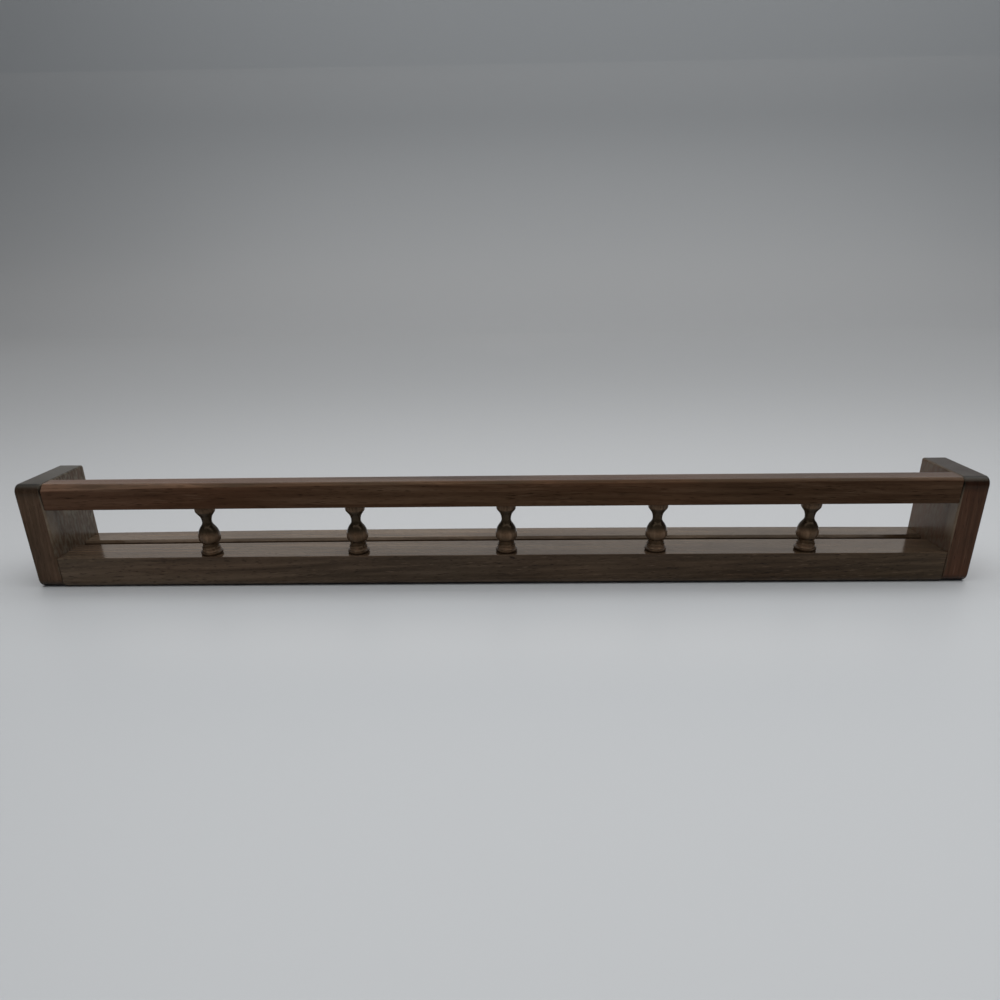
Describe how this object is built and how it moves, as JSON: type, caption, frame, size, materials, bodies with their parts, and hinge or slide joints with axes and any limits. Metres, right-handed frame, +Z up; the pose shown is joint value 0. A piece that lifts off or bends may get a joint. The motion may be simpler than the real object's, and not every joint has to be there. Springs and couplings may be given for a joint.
{
  "type": "wall spice rack",
  "caption": "Low wall-hung spice rack in dark wood: end boards, a thick grooved shelf and a square top rail carried on turned spindles, open at the back.",
  "frame": {"origin": "middle of the underside: centre of the length and of the depth, on the plane the rack stands on", "axes": "+X along the rack to the right as seen from the front, +Y back towards the wall, +Z up"},
  "size_m": [0.7112, 0.0636, 0.0809],
  "materials": {
    "end_board_walnut": "dark walnut, glossy lacquer",
    "rail_walnut": "dark walnut, glossy lacquer",
    "shelf_walnut": "dark walnut, glossy lacquer",
    "spindle_walnut": "turned dark walnut, glossy lacquer",
    "dowel_beech": "plain beech"
  },
  "bodies": {
    "root": {"left_end_board": "end_board_walnut", "right_end_board": "end_board_walnut", "top_rail": "rail_walnut", "shelf": "shelf_walnut", "rail_dowels": "dowel_beech", "shelf_dowels": "dowel_beech", "spindle_1": "spindle_walnut", "spindle_2": "spindle_walnut", "spindle_3": "spindle_walnut", "spindle_4": "spindle_walnut", "spindle_5": "spindle_walnut"}
  },
  "joints": []
}
